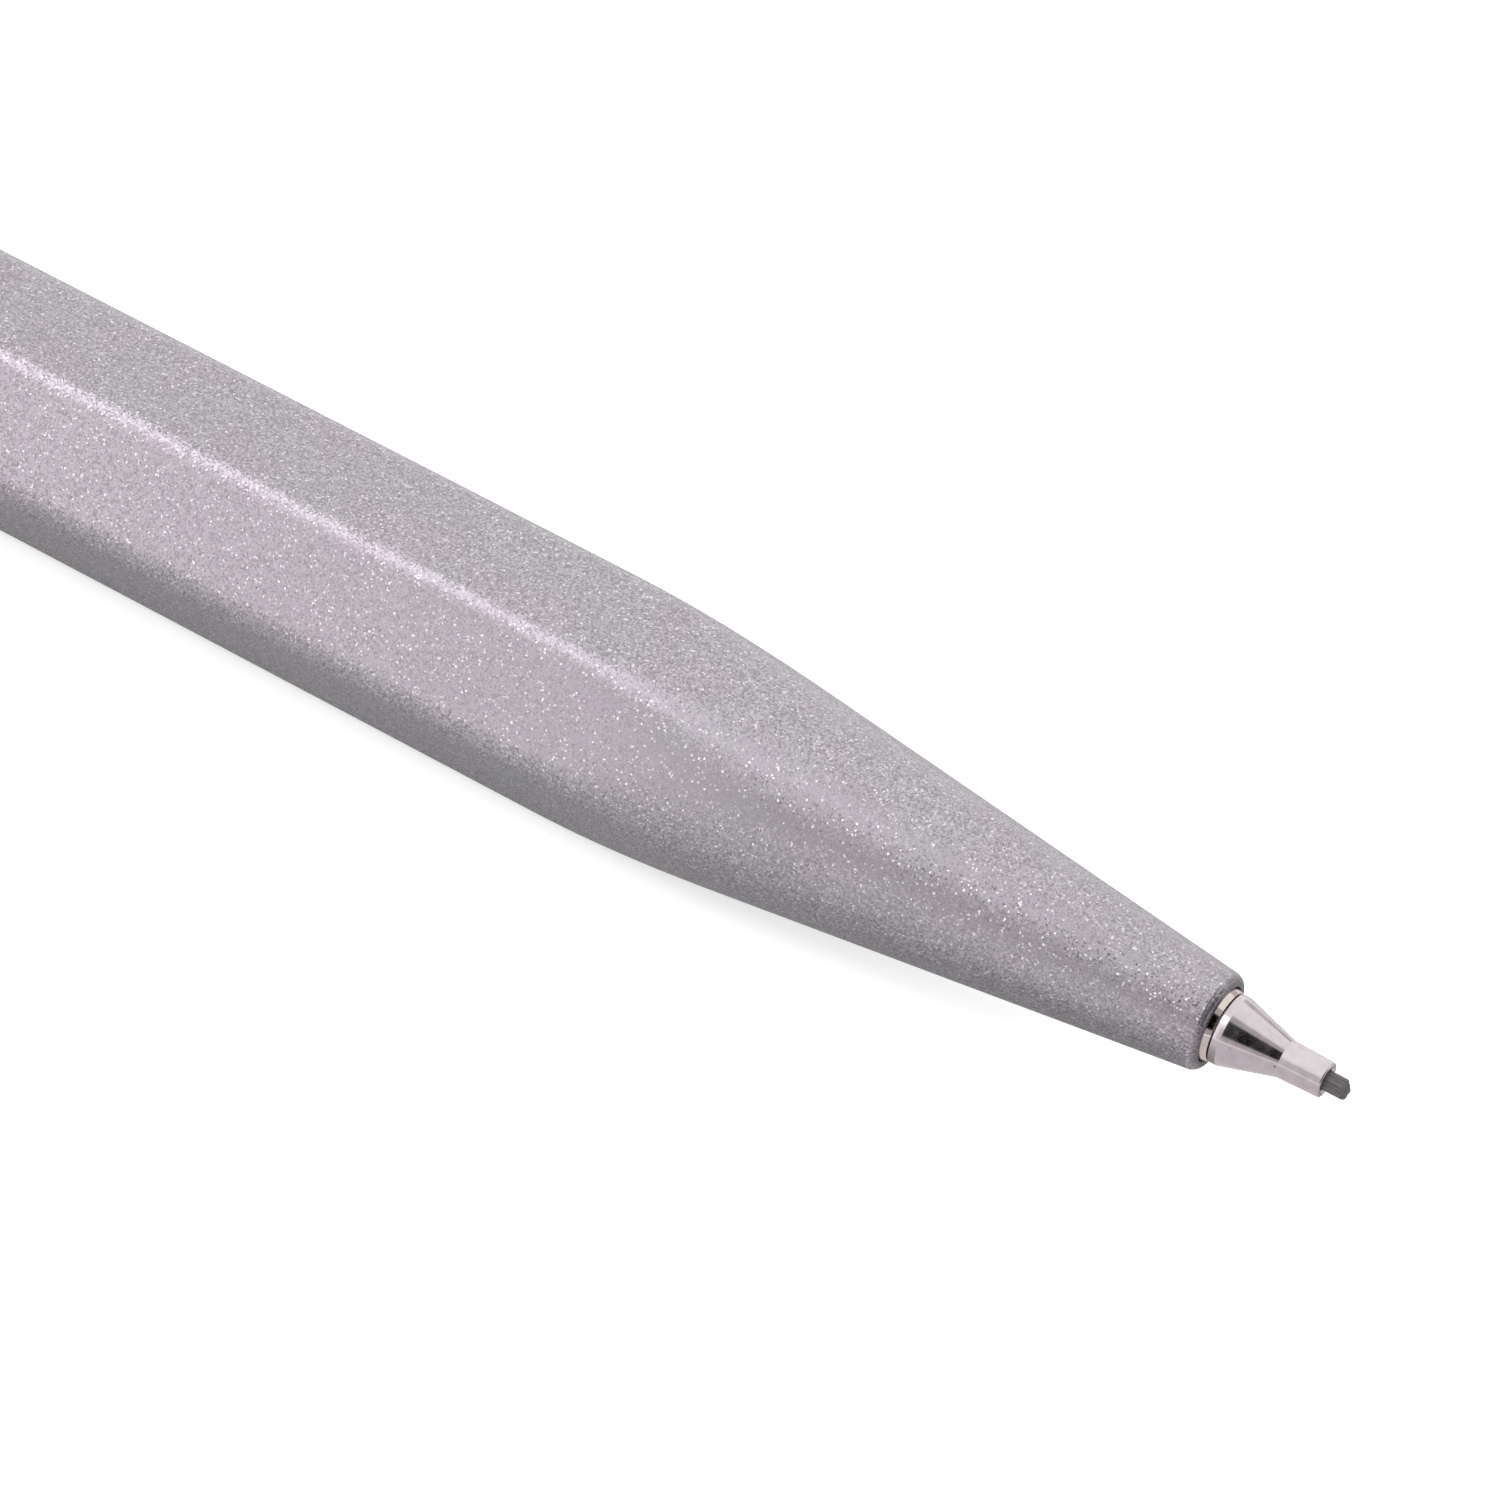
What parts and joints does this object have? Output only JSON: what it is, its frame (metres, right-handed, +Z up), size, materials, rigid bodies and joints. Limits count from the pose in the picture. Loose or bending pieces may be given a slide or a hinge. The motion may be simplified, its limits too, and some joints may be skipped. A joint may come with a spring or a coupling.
{
  "type": "mechanical pencil",
  "caption": "Slim hexagonal metal mechanical pencil with a tapered tip, push button, pocket clip and working chuck mechanism.",
  "frame": {"origin": "on the surface that the pencil lies on, under the middle of its length (lead end to button end)", "axes": "+X along the pencil's axis towards the lead, +Z up out of the top facet, where the clip is, and the pencil lies on the opposite facet"},
  "size_m": [0.134, 0.0088, 0.01],
  "materials": {
    "satin_paint": "satin silver grey with fine metallic flake",
    "nickel": "polished nickel plate",
    "brass": "turned",
    "spring_steel": "drawn wire",
    "white_plastic": "moulded",
    "black_rubber": "matt",
    "white_rubber": "matt eraser",
    "graphite": "satin dark grey polymer graphite"
  },
  "bodies": {
    "barrel_assembly": {"barrel": "satin_paint", "mechanism_body": "nickel", "mechanism_tube": "white_plastic", "chuck_guide": "brass", "chuck_spring": "spring_steel", "rear_bush": "nickel", "clip_ring": "nickel"},
    "plunger": {"lead_tube": "white_plastic", "chuck_connector": "brass", "chuck_stem": "brass"},
    "clutch_ring": {"clutch_ring": "brass"},
    "jaw_1": {"chuck_jaw_1": "brass"},
    "jaw_2": {"chuck_jaw_2": "brass"},
    "jaw_3": {"chuck_jaw_3": "brass"},
    "lead": {"lead": "graphite"},
    "nose_cone": {"nose_cone": "nickel", "lead_retainer": "black_rubber"},
    "spare_leads": {"spare_lead_1": "graphite", "spare_lead_2": "graphite", "spare_lead_3": "graphite"},
    "eraser": {"eraser": "white_rubber"},
    "push_button": {"push_button": "nickel"},
    "clip": {"clip_arm": "nickel"}
  },
  "joints": [
    {"name": "button_press", "type": "slide", "parent": "barrel_assembly", "child": "plunger", "axis": [1, 0, 0], "range_m": [0, 0.0032], "stiffness_N_per_m": 900, "springref_m": -0.0012, "deforming": ["chuck_spring"]},
    {"name": "ring_travel", "type": "slide", "parent": "barrel_assembly", "child": "clutch_ring", "axis": [1, 0, 0], "range_m": [0, 0.00097]},
    {"name": "jaw_1_flex", "type": "hinge", "parent": "plunger", "child": "jaw_1", "pos_m": [0.038, 0, 0.00462], "axis": [0, -1, 0], "range_deg": [0, 1.22]},
    {"name": "jaw_2_flex", "type": "hinge", "parent": "plunger", "child": "jaw_2", "pos_m": [0.038, -0.00054, 0.00369], "axis": [0, 0.5, -0.866], "range_deg": [0, 1.22]},
    {"name": "jaw_3_flex", "type": "hinge", "parent": "plunger", "child": "jaw_3", "pos_m": [0.038, 0.00054, 0.00369], "axis": [0, 0.5, 0.866], "range_deg": [0, 1.22]},
    {"name": "lead_feed", "type": "slide", "parent": "barrel_assembly", "child": "lead", "axis": [1, 0, 0], "range_m": [-0.0008, 0.006]},
    {"name": "nose_cone_unscrew", "type": "slide", "parent": "barrel_assembly", "child": "nose_cone", "axis": [1, 0, 0], "range_m": [0, 0.014]},
    {"name": "spare_leads_slide", "type": "slide", "parent": "plunger", "child": "spare_leads", "axis": [-1, 0, 0], "range_m": [0, 0.007]},
    {"name": "eraser_pull", "type": "slide", "parent": "plunger", "child": "eraser", "axis": [-1, 0, 0], "range_m": [0, 0.008]},
    {"name": "button_cap_pull", "type": "slide", "parent": "eraser", "child": "push_button", "axis": [-1, 0, 0], "range_m": [0, 0.012]},
    {"name": "clip_flex", "type": "hinge", "parent": "barrel_assembly", "child": "clip", "pos_m": [-0.0583, 0, 0.00793], "axis": [0, -1, 0], "range_deg": [0, 4], "stiffness_Nm_per_rad": 0.6, "springref_deg": -0.57}
  ],
  "couplings": [
    {"joint": "ring_travel", "follows": "button_press", "ratio": 0.3},
    {"joint": "jaw_1_flex", "follows": "button_press", "rad_per_m": 6.545},
    {"joint": "jaw_2_flex", "follows": "button_press", "rad_per_m": 6.545},
    {"joint": "jaw_3_flex", "follows": "button_press", "rad_per_m": 6.545}
  ]
}
